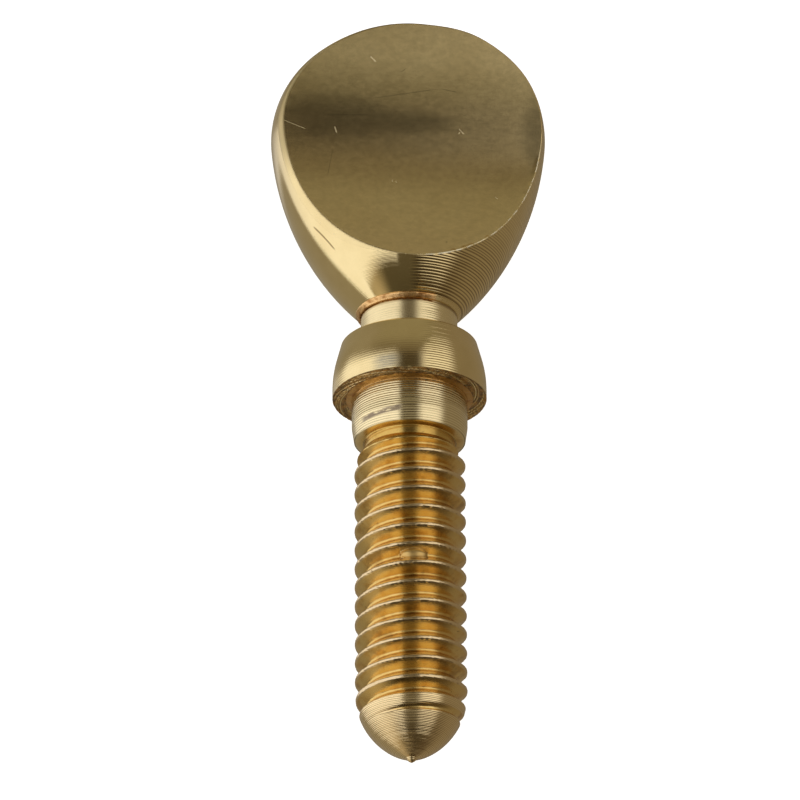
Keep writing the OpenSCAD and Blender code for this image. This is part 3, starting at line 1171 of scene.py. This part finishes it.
def make_studio():
    """Two soft boxes beside the camera, a dim warm room beyond, and a pale backdrop."""
    world = bpy.data.worlds.new("studio")
    bpy.context.scene.world = world
    world.use_nodes = True
    graph = Graph(world.node_tree)
    ray = graph.node("ShaderNodeTexCoord").outputs["Generated"]

    def along(direction):
        """Share of the ray that runs along a direction."""
        dot = graph.node("ShaderNodeVectorMath", {"operation": "DOT_PRODUCT"}, Vector=ray)
        dot.inputs[1].default_value = direction
        return dot.outputs["Value"]

    def window(value, opens, closes):
        """1 between two soft edges, each given as (outside, inside)."""
        return graph.times(graph.step(value, *opens), graph.step(value, *closes))

    c, s = math.cos(VIEW_YAW), math.sin(VIEW_YAW)
    to_right = along((c, 0, s))
    to_camera = along((-s, 0, c))
    to_head = along((0, 1, 0))
    degrees = 180 / math.pi
    azimuth = graph.times(graph.maths("ARCTAN2", to_right, to_camera), degrees)
    height = graph.times(graph.maths("ARCSINE", to_head), degrees)

    stops = [
        (-90, (0.03, 0.024, 0.015)),
        (-74, (0.045, 0.036, 0.022)),
        (-55, (0.10, 0.085, 0.055)),
        (-35, (0.13, 0.105, 0.065)),
        (-15, (0.27, 0.25, 0.20)),
        (-5, (0.30, 0.28, 0.23)),
        (8, (0.14, 0.125, 0.08)),
        (16, (0.07, 0.056, 0.035)),
        (28, (0.065, 0.05, 0.03)),
        (36, (0.18, 0.15, 0.10)),
        (52, (0.30, 0.27, 0.19)),
        (90, (0.33, 0.29, 0.21)),
    ]
    room = graph.node("ShaderNodeValToRGB")
    share = graph.scaled(height, 1 / 180, 0.5)
    graph.feed(room.inputs["Fac"], share)
    ramp = room.color_ramp
    ramp.interpolation = "EASE"
    while len(ramp.elements) < len(stops):
        ramp.elements.new(0.5)
    for element, (level, colour) in zip(ramp.elements, stops):
        element.position = level / 180 + 0.5
        element.color = (*colour, 1)

    turned_away = graph.maths("ABSOLUTE", azimuth)
    level_band = window(height, (-76, -56), (72, 55))
    beside = graph.times(graph.step(turned_away, 45, 80), level_band)
    level_share = graph.step(height, -50, -30)
    left_wall = graph.mix(level_share, (0.52, 0.44, 0.31), (0.31, 0.28, 0.22))
    right_wall = graph.mix(level_share, (0.10, 0.075, 0.045), (0.25, 0.21, 0.15))
    walls = graph.mix(graph.step(azimuth, -20, 20), left_wall, right_wall)
    studio = graph.mix(beside, room.outputs[0], walls)

    # The left soft box stands tilted: its lower edge rises with the azimuth behind the screw, and
    # the edge of the table hides its lowest part from the front.
    tilt = graph.step(azimuth, -85, -146)
    lower_edge = graph.scaled(tilt, 76, -56)
    table_edge = graph.scaled(azimuth, -0.12, -50)
    table_edge = graph.mix_value(graph.step(azimuth, -93, -91), -90, table_edge)
    lower_edge = graph.maths("MAXIMUM", lower_edge, table_edge)
    above = graph.step(graph.maths("SUBTRACT", height, lower_edge), -2, 2)
    upper_edge = graph.mix_value(graph.step(azimuth, -130, -100), 25, 32)
    below = graph.step(graph.maths("SUBTRACT", height, upper_edge), 4, -4)
    flat = graph.times(above, below)
    wide = window(azimuth, (-170, -150), (-17, -22))
    light = graph.mix(graph.step(azimuth, -165, -110), (0.62, 0.60, 0.58), (1.14, 1.14, 1.18))
    studio = graph.mix(graph.times(flat, wide), studio, light)

    # The right soft box
    wide = window(azimuth, (12, 28), (76, 56))
    flat = window(height, (-42, -30), (37, 30))
    studio = graph.mix(graph.times(flat, wide), studio, (1.02, 0.99, 0.97))

    seen = graph.node("ShaderNodeLightPath").outputs["Is Camera Ray"]
    studio = graph.mix(seen, studio, (1.0, 1.0, 1.0))
    background = graph.node("ShaderNodeBackground", Color=studio)
    graph.node("ShaderNodeOutputWorld", Surface=background.outputs[0])


# ---------------------------------------------------------------- the whole scene

make_camera()
make_floor()
make_studio()
make_head(flank_material(), dish_material(), edge_material())
make_collar(collar_material())
make_stem(stem_material())
make_head_braze(filler_material("head_filler", 0.0, COPPER))
make_collar_braze(filler_material("collar_filler", 0.02, BROWNED_COPPER))
